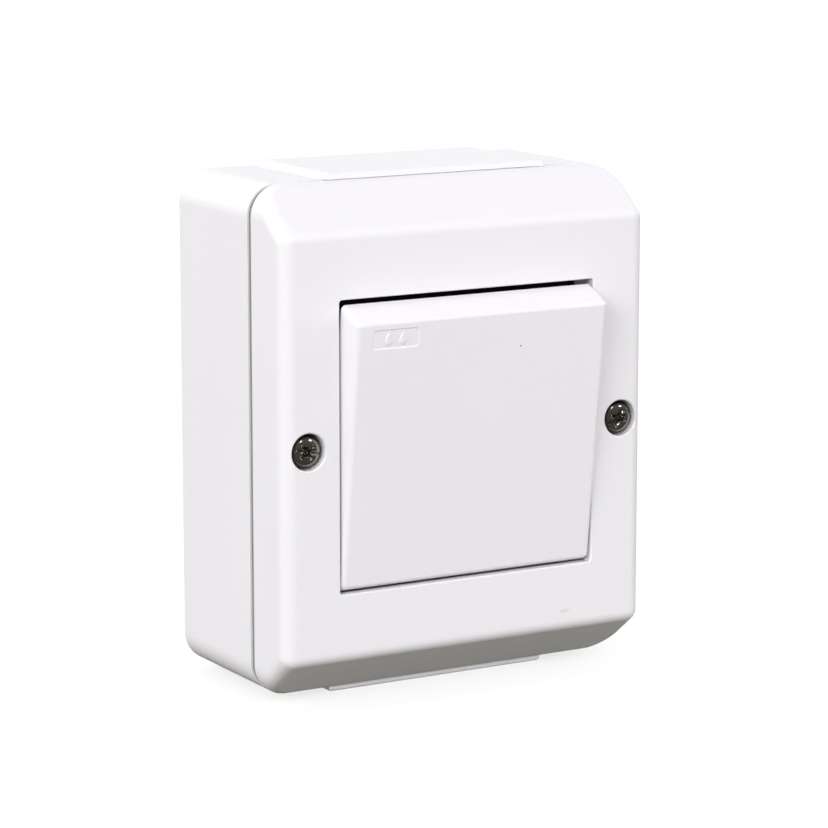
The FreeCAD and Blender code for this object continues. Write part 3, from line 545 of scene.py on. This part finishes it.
WHITE = (1.0, 1.0, 1.0, 1.0)
EVEN = (1.0, 1.0, 1.0)  # the same each way, as in turned or plated metal or a round spot
ROLLED = (1.0, 1.0, 0.08)  # marks of rolled metal, drawn out along Z
MOTTLE = (0.99, 1.01)  # darkest and palest share of a moulding's colour
BRIGHT_METAL = 1.1  # palest share of a metal's colour
SPOT_CORE = 0.4  # share of a spot's radius inside which it has its full colour

VECTOR = "NodeSocketVector"
FLOAT = "NodeSocketFloat"

# A spot's place, what its axes are stretched by, its radius and its colour.
Spot = namedtuple("Spot", "place stretch radius tint")


def link(tree, source, target):
    """Joins two sockets of a node tree."""
    tree.links.new(source, target)


def node(tree, kind, inputs=(), **settings):
    """New shader node with settings, and inputs given as (socket, value or output socket)."""
    made = tree.nodes.new(kind)
    for key, value in settings.items():
        setattr(made, key, value)
    for socket, value in inputs:
        if isinstance(value, bpy.types.NodeSocket):
            link(tree, value, made.inputs[socket])
        else:
            made.inputs[socket].default_value = value
    return made


def effect_group(name, inputs, outputs):
    """Empty shader group with named sockets, and its input and output nodes."""
    tree = bpy.data.node_groups.new(name, "ShaderNodeTree")
    for label, kind, default in inputs:
        socket = tree.interface.new_socket(label, in_out="INPUT", socket_type=kind)
        if default is not None:
            socket.default_value = default
    for label, kind in outputs:
        tree.interface.new_socket(label, in_out="OUTPUT", socket_type=kind)
    return tree, tree.nodes.new("NodeGroupInput"), tree.nodes.new("NodeGroupOutput")


def noise(tree, vector, scale, detail, roughness=0.5):
    """Value of a noise texture."""
    return node(tree, "ShaderNodeTexNoise", [("Vector", vector), ("Scale", scale),
                                             ("Detail", detail),
                                             ("Roughness", roughness)]).outputs[0]


def vector_math(tree, operation, first, second):
    """Vector worked out from two vectors."""
    return node(tree, "ShaderNodeVectorMath", [(0, first), (1, second)],
                operation=operation).outputs[0]


def moulded_skin_group():
    """Relief of a moulded face: fine spark-eroded grain over a slow waviness, and a mottle."""
    tree, given, result = effect_group(
        "Moulded Skin",
        [("Vector", VECTOR, None), ("Grain Scale", FLOAT, 2600.0), ("Wave Scale", FLOAT, 90.0),
         ("Patch Scale", FLOAT, 35.0), ("Grain Share", FLOAT, 0.25)],
        [("Relief", FLOAT), ("Mottle", FLOAT), ("Gloss", FLOAT)])
    vector = given.outputs["Vector"]
    grain = noise(tree, vector, given.outputs["Grain Scale"], detail=3.0, roughness=0.6)
    wave = noise(tree, vector, given.outputs["Wave Scale"], detail=1.0, roughness=0.4)
    patch = noise(tree, vector, given.outputs["Patch Scale"], detail=3.0, roughness=0.55)
    relief = node(tree, "ShaderNodeMix", [(0, given.outputs["Grain Share"]), (2, wave),
                                          (3, grain)])
    gloss = node(tree, "ShaderNodeMapRange", [("Value", patch), ("From Min", 0.3),
                                              ("From Max", 0.7)])
    link(tree, relief.outputs[0], result.inputs["Relief"])
    link(tree, patch, result.inputs["Mottle"])
    link(tree, gloss.outputs[0], result.inputs["Gloss"])
    return tree


def speck_group():
    """Mask of one small spot round a place, which fades out at its radius in stretched axes."""
    tree, given, result = effect_group(
        "Speck",
        [("Vector", VECTOR, None), ("Place", VECTOR, None), ("Stretch", VECTOR, EVEN),
         ("Radius", FLOAT, 0.2 * MM)],
        [("Mask", FLOAT)])
    offset = vector_math(tree, "SUBTRACT", given.outputs["Vector"], given.outputs["Place"])
    scaled = vector_math(tree, "MULTIPLY", offset, given.outputs["Stretch"])
    length = node(tree, "ShaderNodeVectorMath", [(0, scaled)], operation="LENGTH")
    inner = node(tree, "ShaderNodeMath", [(0, given.outputs["Radius"]), (1, SPOT_CORE)],
                 operation="MULTIPLY")
    mask = node(tree, "ShaderNodeMapRange", [("Value", length.outputs["Value"]),
                                             ("From Min", given.outputs["Radius"]),
                                             ("From Max", inner.outputs[0])],
                interpolation_type="SMOOTHSTEP")
    link(tree, mask.outputs[0], result.inputs["Mask"])
    return tree


def worked_metal_group():
    """Relief and tone of rolled, turned or plated metal: noise drawn out along one axis."""
    tree, given, result = effect_group(
        "Worked Metal",
        [("Vector", VECTOR, None), ("Draw", VECTOR, EVEN), ("Scale", FLOAT, 900.0),
         ("Cloud Scale", FLOAT, 260.0)],
        [("Relief", FLOAT), ("Tone", FLOAT)])
    drawn = vector_math(tree, "MULTIPLY", given.outputs["Vector"], given.outputs["Draw"])
    lines = noise(tree, drawn, given.outputs["Scale"], detail=4.0)
    cloud = noise(tree, given.outputs["Vector"], given.outputs["Cloud Scale"], detail=3.0)
    link(tree, lines, result.inputs["Relief"])
    link(tree, cloud, result.inputs["Tone"])
    return tree


def group_node(tree, name, inputs):
    """Node that places a named effect group, with its inputs set."""
    return node(tree, "ShaderNodeGroup", inputs, node_tree=bpy.data.node_groups[name])


def new_material(name, **constants):
    """Material with an empty tree but for its shader and output, and object coordinates."""
    material = bpy.data.materials.new(name)
    material.use_nodes = True
    tree = material.node_tree
    shader = tree.nodes["Principled BSDF"]
    for socket, value in constants.items():
        shader.inputs[socket.replace("_", " ")].default_value = value
    coordinates = node(tree, "ShaderNodeTexCoord").outputs["Object"]
    return material, tree, shader, coordinates


def toned(colour, share):
    """Colour with its channels scaled, as a four channel value."""
    return tuple(channel * share for channel in colour) + (1.0,)


def mixed(tree, mask, first, second):
    """Colour that goes from the first to the second as a mask goes from 0 to 1."""
    return node(tree, "ShaderNodeMix", [(0, mask), (6, first), (7, second)],
                data_type="RGBA").outputs[2]


def surface(tree, shader, base, rough, height, relief):
    """Feeds a shader its base colour, its roughness and a bump of a relief in metres."""
    bump = node(tree, "ShaderNodeBump", [("Strength", 1.0), ("Distance", relief),
                                         ("Height", height)])
    link(tree, base, shader.inputs["Base Color"])
    link(tree, rough.outputs[0], shader.inputs["Roughness"])
    link(tree, bump.outputs[0], shader.inputs["Normal"])


def moulded(name, colour, roughness, relief, grain_scale, spots=()):
    """Injection-moulded plastic: mottled colour, uneven gloss and a fine textured relief.

    roughness is its lowest and highest value. Each spot is laid over the base colour.
    """
    material, tree, shader, coordinates = new_material(name)
    skin = group_node(tree, "Moulded Skin", [("Vector", coordinates), ("Grain Scale", grain_scale)])
    base = mixed(tree, skin.outputs["Mottle"], toned(colour, MOTTLE[0]), toned(colour, MOTTLE[1]))
    for spot in spots:
        mask = group_node(tree, "Speck", [("Vector", coordinates), ("Place", spot.place),
                                          ("Stretch", spot.stretch), ("Radius", spot.radius)])
        base = mixed(tree, mask.outputs["Mask"], base, toned(spot.tint, 1.0))
    rough = node(tree, "ShaderNodeMapRange", [("Value", skin.outputs["Gloss"]),
                                              ("To Min", roughness[0]), ("To Max", roughness[1])])
    surface(tree, shader, base, rough, skin.outputs["Relief"], relief)
    return material


def metal(name, colour, roughness, draw, relief, tarnish, painted_shade_share=0.0):
    """Worked metal: drawn or turned marks, and a cloudy tone between bright and tarnished.

    roughness is its lowest and highest value, and tarnish the darkest share of the colour. Where
    the attribute of painted shade is 1, painted shade darkens the colour by the last argument's
    share.
    """
    material, tree, shader, coordinates = new_material(name, Metallic=1.0)
    marks = group_node(tree, "Worked Metal", [("Vector", coordinates), ("Draw", draw)])
    base = mixed(tree, marks.outputs["Tone"], toned(colour, tarnish), toned(colour, BRIGHT_METAL))
    # Painted shade: the colour is darkened where the point attribute is high.
    if painted_shade_share:
        painted_shade = node(tree, "ShaderNodeAttribute", attribute_name="painted_shade")
        unshaded_share = node(tree, "ShaderNodeMapRange", [("Value", painted_shade.outputs["Fac"]), ("To Min", 1.0),
                                                  ("To Max", 1.0 - painted_shade_share)])
        base = node(tree, "ShaderNodeVectorMath", [(0, base), ("Scale", unshaded_share.outputs[0])],
                    operation="SCALE").outputs[0]
    rough = node(tree, "ShaderNodeMapRange", [("Value", marks.outputs["Relief"]),
                                              ("From Min", 0.3), ("From Max", 0.7),
                                              ("To Min", roughness[0]), ("To Max", roughness[1])])
    surface(tree, shader, base, rough, marks.outputs["Relief"], relief)
    return material


def dress(names, material):
    """Gives CAD nodes a material in every slot."""
    for name in names:
        data = frame["nodes"][name].data
        for index in range(len(data.materials)):
            data.materials[index] = material


# Stage

FLOOR_REACH = 6.0  # from the middle of the floor to its edge
FLOOR_LINES = 13  # lines of the floor's grid each way
FLOOR_BOUNCE = shade(91, 90, 68)  # colour that the floor throws back
FLOOR_SHEEN = shade(92, 91, 86)  # colour that gloss shows of it
FLOOR_PALE = 0.32  # grey that takes the shadow where the floor is seen
FLOOR_GLOW = 0.74  # brightness that is added to it there

WALL_TOP = math.sin(math.radians(28.0))  # height of a direction where the tent's walls end
ROOF_EDGE = math.sin(math.radians(48.0))  # height where its roof has begun
GLOSS_ROOF_EDGE = math.sin(math.radians(70.0))  # height where the roof has begun in gloss
GLOSS_ROOF = 0.15  # brightness of the roof in gloss
ROOM_SIDE = -0.5  # Y of a direction up to which gloss shows the dim room
WALL_SIDE = 0.1  # Y of a direction from which it shows the bright wall

SPARK_LAMPS = (("Spark Lamp Front", (0.05, -0.87, 0.49)),
               ("Spark Lamp Right", (0.62, -0.70, 0.35)),
               ("Spark Lamp Side", (0.948, -0.312, 0.118)))


def ray_mask(tree, *kinds):
    """Mask of the rays of one or more kinds, such as Is Camera Ray."""
    path = node(tree, "ShaderNodeLightPath")
    mask = path.outputs[kinds[0]]
    for kind in kinds[1:]:
        mask = node(tree, "ShaderNodeMath", [(0, mask), (1, path.outputs[kind])],
                    operation="MAXIMUM").outputs[0]
    return mask


def joined(tree, mask, first, second):
    """Shader or background that is the first where a mask is 0 and the second where it is 1."""
    return node(tree, "ShaderNodeMixShader", [(0, mask), (1, first.outputs[0]),
                                              (2, second.outputs[0])])


def floor_under(height):
    """Pale floor: white with a soft shadow where it is seen, a dim sheen of it in gloss, and a dim
    bounce for the rest."""
    steps = np.linspace(-FLOOR_REACH, FLOOR_REACH, FLOOR_LINES)
    x, y = np.meshgrid(steps, steps, indexing="ij")
    points = np.stack([x, y, np.full_like(x, height)], axis=-1).reshape(-1, 3)
    index = np.arange(len(points)).reshape(x.shape)
    faces = np.stack([index[:-1, :-1], index[1:, :-1], index[1:, 1:], index[:-1, 1:]], axis=-1)
    data = bpy.data.meshes.new("studio_floor")
    data.from_pydata(points.tolist(), [], faces.reshape(-1, 4).tolist())
    placed("studio_floor", data)

    material = bpy.data.materials.new("Studio Floor")
    material.use_nodes = True
    tree = material.node_tree
    tree.nodes.clear()
    dim = node(tree, "ShaderNodeBsdfDiffuse", [("Color", toned(FLOOR_BOUNCE, 1.0))])
    pale = node(tree, "ShaderNodeBsdfDiffuse", [("Color", toned(WHITE[:3], FLOOR_PALE))])
    glow = node(tree, "ShaderNodeEmission", [("Color", WHITE), ("Strength", FLOOR_GLOW)])
    shown = node(tree, "ShaderNodeAddShader", [(0, pale.outputs[0]), (1, glow.outputs[0])])
    sheen = node(tree, "ShaderNodeEmission", [("Color", toned(FLOOR_SHEEN, 1.0)),
                                              ("Strength", 1.0)])
    unseen = joined(tree, ray_mask(tree, "Is Glossy Ray"), dim, sheen)
    whole = joined(tree, ray_mask(tree, "Is Camera Ray", "Is Transmission Ray"), unseen, shown)
    node(tree, "ShaderNodeOutputMaterial", [("Surface", whole.outputs[0])])
    data.materials.append(material)


def smooth_range(tree, value, low, high, first, last):
    """Value that goes smoothly from first to last while another goes from low to high."""
    return node(tree, "ShaderNodeMapRange", [("Value", value), ("From Min", low),
                                             ("From Max", high), ("To Min", first),
                                             ("To Max", last)],
                interpolation_type="SMOOTHSTEP").outputs[0]


def light_tent(stage):
    """World: white where it is seen, and a tent with bright side walls for the light itself.

    The tent's brightness falls smoothly from its side walls to a dim roof. Gloss shows a bright
    wall behind the object and a dim room in front of it.
    """
    world = bpy.data.worlds.new("Light Tent")
    bpy.context.scene.world = world
    world.use_nodes = True
    tree = world.node_tree
    tree.nodes.clear()
    direction = node(tree, "ShaderNodeTexCoord").outputs["Generated"]
    along = node(tree, "ShaderNodeSeparateXYZ", [(0, direction)])
    height = along.outputs["Z"]
    level = smooth_range(tree, height, WALL_TOP, ROOF_EDGE, stage.tent, stage.roof)
    gloss_level = smooth_range(tree, height, WALL_TOP, GLOSS_ROOF_EDGE, stage.mirrored, GLOSS_ROOF)
    behind = smooth_range(tree, along.outputs["Y"], ROOM_SIDE, WALL_SIDE, stage.room, 1.0)
    gloss_level = node(tree, "ShaderNodeMath", [(0, gloss_level), (1, behind)],
                       operation="MULTIPLY")
    walls = node(tree, "ShaderNodeBackground", [("Color", WHITE), ("Strength", level)])
    gloss = node(tree, "ShaderNodeBackground", [("Color", WHITE),
                                                ("Strength", gloss_level.outputs[0])])
    shown = node(tree, "ShaderNodeBackground", [("Color", WHITE), ("Strength", 1.0)])
    unseen = joined(tree, ray_mask(tree, "Is Glossy Ray"), walls, gloss)
    whole = joined(tree, ray_mask(tree, "Is Camera Ray", "Is Transmission Ray"), unseen, shown)
    node(tree, "ShaderNodeOutputWorld", [("Surface", whole.outputs[0])])


def sun(name, level, spread, towards):
    """Sun lamp that lights a wall facing it to a level, with a disc of a spread in radians."""
    lamp = bpy.data.lights.new(name, "SUN")
    lamp.energy = math.pi * level
    lamp.angle = spread
    made = placed(name, lamp)
    x, y, z = towards
    made.rotation_euler = (math.acos(z / math.sqrt(x * x + y * y + z * z)), 0.0,
                           math.atan2(y, x) + math.pi / 2)


def photo_camera(stage):
    """Camera at the photograph's viewing angle."""
    lens = bpy.data.cameras.new("Camera")
    lens.lens = stage.lens
    lens.sensor_width = 36.0
    made = placed("Camera", lens)
    made.location = stage.camera_place
    made.rotation_euler = (math.pi / 2 - stage.camera_dip, 0.0, -stage.camera_turn)
    return made


# Operators

class SWITCH_OT_effects(bpy.types.Operator):
    """Builds the shader groups that the materials share"""

    bl_idname = "switch.effects"
    bl_label = "Shared Effects"

    def execute(self, context):
        moulded_skin_group()
        speck_group()
        worked_metal_group()
        return {"FINISHED"}


class SWITCH_OT_mouldings(bpy.types.Operator):
    """Finishes the cover, box, entry plates, rocker and the mouldings of the mechanism"""

    bl_idname = "switch.mouldings"
    bl_label = "Mouldings"

    def execute(self, context):
        finish = context.scene.switch.finish
        cover_front = float(node_points("front_cover")[:, 1].min())
        scuff = Spot(place=(21.6 * MM, cover_front, -36.5 * MM), stretch=(0.45, 1.0, 1.6),
                     radius=0.7 * MM, tint=shade(226, 223, 226))
        face_place = on_face(np.array(8.3 * MM), np.array(18.45 * MM), np.array(0.0))
        speck = Spot(place=tuple(face_place), stretch=EVEN, radius=0.22 * MM,
                     tint=shade(70, 68, 78))
        dress(WHITE_MOULDINGS, moulded("White Moulding", finish.white, roughness=(0.30, 0.38),
                                       relief=5e-6, grain_scale=2600.0, spots=[scuff]))
        dress(("rocker",), moulded("Rocker Moulding", finish.rocker, roughness=(0.28, 0.36),
                                   relief=4e-6, grain_scale=3000.0, spots=[speck]))
        dress(GREY_MOULDINGS, moulded("Grey Moulding", finish.grey, roughness=(0.42, 0.52),
                                      relief=6e-6, grain_scale=2200.0))
        dress(DARK_MOULDINGS, moulded("Dark Moulding", finish.dark, roughness=(0.45, 0.6),
                                      relief=8e-6, grain_scale=1800.0))
        return {"FINISHED"}


class SWITCH_OT_rubber(bpy.types.Operator):
    """Finishes the gasket, the seal behind the rocker and the screws' washers"""

    bl_idname = "switch.rubber"
    bl_label = "Rubber"

    def execute(self, context):
        finish = context.scene.switch.finish
        dress(("housing_gasket",), moulded("Gasket Rubber", finish.seam, roughness=(0.62, 0.75),
                                           relief=2e-5, grain_scale=1500.0))
        dress(DARK_RUBBER_PARTS, moulded("Dark Rubber", finish.seal, roughness=(0.6, 0.8),
                                         relief=2e-5, grain_scale=1400.0))
        return {"FINISHED"}


class SWITCH_OT_metalwork(bpy.types.Operator):
    """Finishes the support frame, strips, clamps, lever and contact tips"""

    bl_idname = "switch.metalwork"
    bl_label = "Metalwork"

    def execute(self, context):
        finish = context.scene.switch.finish
        dress(ZINC_PARTS, metal("Zinc Plated Sheet", finish.zinc, roughness=(0.3, 0.42),
                                draw=ROLLED, relief=3e-6, tarnish=0.8))
        dress(BRASS_PARTS, metal("Rolled Brass", finish.brass, roughness=(0.24, 0.36),
                                 draw=ROLLED, relief=3e-6, tarnish=0.75))
        dress(COPPER_PARTS, metal("Phosphor Bronze", finish.copper, roughness=(0.26, 0.4),
                                  draw=ROLLED, relief=3e-6, tarnish=0.75))
        dress(SILVER_PARTS, metal("Contact Silver", finish.silver, roughness=(0.3, 0.45),
                                  draw=EVEN, relief=2e-6, tarnish=0.7))
        return {"FINISHED"}


class SWITCH_OT_cover_screws(bpy.types.Operator):
    """Builds the two cover screws, with their cross and slot recess and their thread"""

    bl_idname = "switch.cover_screws"
    bl_label = "Cover Screws"

    def execute(self, context):
        sizes = context.scene.switch.screws
        # The plating carries painted shade in the recesses, on the rims, under the heads and along
        # the shanks.
        plating = metal("Dark Nickel", context.scene.switch.finish.head, roughness=(0.10, 0.20),
                        draw=EVEN, relief=2e-6, tarnish=0.6, painted_shade_share=0.85)
        points = node_points("cover_screws")
        for name, side, turn in (("cover_screw_left", -1, sizes.left_turn),
                                 ("cover_screw_right", 1, sizes.right_turn)):
            seat, head_radius, _, *shank = head_and_shank(points[points[:, 0] * side > 0])
            shape = screw(seat, head_radius * sizes.head_spread, sizes.dome, *shank,
                          lambda x, z: cross_and_slot(x, z, turn, sizes), power=2.6,
                          thread=(sizes.pitch, sizes.thread_depth, sizes.neck), sectors=192,
                          rim=sizes.rim)
            made = piece(name, [shape], "switch_body", plating, sharp=60.0)
            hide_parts("cover_screws")
        return {"FINISHED"}


class SWITCH_OT_inner_screws(bpy.types.Operator):
    """Builds the terminal screws and the support frame's screws with their fine threads"""

    bl_idname = "switch.inner_screws"
    bl_label = "Inner Screws"

    def execute(self, context):
        sizes = context.scene.switch.screws
        # The plating carries painted shade in the slots, towards the rims, under the heads and
        # along the shanks.
        plating = metal("Zinc Plated Screw", context.scene.switch.finish.zinc,
                        roughness=(0.22, 0.36), draw=EVEN, relief=2e-6, tarnish=0.75, painted_shade_share=0.5)
        thread = (sizes.fine_pitch, sizes.fine_depth, 0.0)
        for cad_node in ("terminal_screws", "support_frame_screws"):
            points = node_points(cad_node)
            number = 0
            for x in islands(points, 0, SCREW_GAP):
                column = points[np.abs(points[:, 0] - x) < SCREW_REACH]
                for z in islands(column, 2, SCREW_GAP):
                    number += 1
                    solid = head_and_shank(column[np.abs(column[:, 2] - z) < SCREW_REACH])
                    turn = SLOT_TURN * number
                    shape = screw(*solid, lambda a, b: plain_slot(a, b, turn, sizes), power=9.0,
                                  thread=thread, sectors=48)
                    made = piece(f"{cad_node[:-1]}_{number}", [shape], "switch_body",
                                 plating)
                    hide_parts(cad_node)
        return {"FINISHED"}


class SWITCH_OT_toggle_spring(bpy.types.Operator):
    """Winds the toggle's spring from round wire"""

    bl_idname = "switch.toggle_spring"
    bl_label = "Toggle Spring"

    def execute(self, context):
        sizes = context.scene.switch.spring
        steel = metal("Spring Steel", context.scene.switch.finish.zinc, roughness=(0.2, 0.3),
                      draw=EVEN, relief=2e-6, tarnish=0.6)
        made = piece("toggle_spring_wire", [spring_shape(sizes)], "rocker_and_toggle",
                     steel)
        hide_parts("toggle_spring")
        along = (node_points("toggle_spring") - PIVOT) @ FACE_NORMAL
        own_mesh(made)
        return {"FINISHED"}


class SWITCH_OT_rocker_mark(bpy.types.Operator):
    """Sinks a field in the rocker's face at its upper left, with two raised drops in it"""

    bl_idname = "switch.rocker_mark"
    bl_label = "Rocker Mark"

    def execute(self, context):
        sizes = context.scene.switch.mark
        moulding = bpy.data.materials["Rocker Moulding"]
        face = piece("rocker_face", [merged_node("rocker")], "rocker_and_toggle",
                     moulding)
        cut_by(face, field_cutter(sizes), sharp=28.0)
        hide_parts("rocker")
        shapes = [drop_relief(sizes, -1), drop_relief(sizes, 1)]
        piece("rocker_mark", shapes, "rocker_and_toggle", moulding)
        return {"FINISHED"}


class SWITCH_OT_studio(bpy.types.Operator):
    """Sets the floor, the light tent, the lamps and the camera"""

    bl_idname = "switch.studio"
    bl_label = "Studio"

    def execute(self, context):
        stage = context.scene.switch.stage
        floor_under(cad_box[0][2])
        light_tent(stage)
        sun("Key Lamp", stage.key, spread=0.6, towards=(-0.77, -0.47, 0.43))
        sun("Rear Lamp", stage.rear, spread=0.5, towards=(0.1, 0.7, 0.7))
        for name, towards in SPARK_LAMPS:
            sun(name, stage.spark, spread=0.12, towards=towards)
        context.scene.camera = photo_camera(stage)
        context.scene.view_settings.view_transform = "Standard"
        return {"FINISHED"}


# Panel and registration

class SWITCH_PT_visual(bpy.types.Panel):
    """Buttons and settings of the switch's visual model"""

    bl_idname = "SWITCH_PT_visual"
    bl_label = "Weatherproof Switch"
    bl_space_type = "VIEW_3D"
    bl_region_type = "UI"
    bl_category = "Switch"

    def draw(self, context):
        column = self.layout.column(align=True)
        for operator in OPERATORS:
            column.operator(operator.bl_idname)
        for group in SwitchSettings.__annotations__:
            settings = getattr(context.scene.switch, group)
            box = self.layout.box()
            box.label(text=group.title())
            for setting in settings.__annotations__:
                box.prop(settings, setting)


OPERATORS = (SWITCH_OT_effects, SWITCH_OT_mouldings, SWITCH_OT_rubber, SWITCH_OT_metalwork,
             SWITCH_OT_cover_screws, SWITCH_OT_inner_screws, SWITCH_OT_toggle_spring,
             SWITCH_OT_rocker_mark, SWITCH_OT_studio)
CLASSES = (SwitchFinishSettings, SwitchScrewSettings, SwitchSpringSettings, SwitchMarkSettings,
           SwitchStageSettings, SwitchSettings) + OPERATORS + (SWITCH_PT_visual,)


def register():
    """Registers the classes and hangs the settings on the scene."""
    for cls in CLASSES:
        bpy.utils.register_class(cls)
    bpy.types.Scene.switch = PointerProperty(type=SwitchSettings)


def unregister():
    """Takes the settings off the scene and unregisters the classes."""
    del bpy.types.Scene.switch
    for cls in reversed(CLASSES):
        bpy.utils.unregister_class(cls)


def main():
    """Runs every operator in order."""
    register()
    bpy.ops.switch.effects()
    bpy.ops.switch.mouldings()
    bpy.ops.switch.rubber()
    bpy.ops.switch.metalwork()
    bpy.ops.switch.cover_screws()
    bpy.ops.switch.inner_screws()
    bpy.ops.switch.toggle_spring()
    bpy.ops.switch.rocker_mark()
    bpy.ops.switch.studio()


if __name__ == "__main__":
    main()
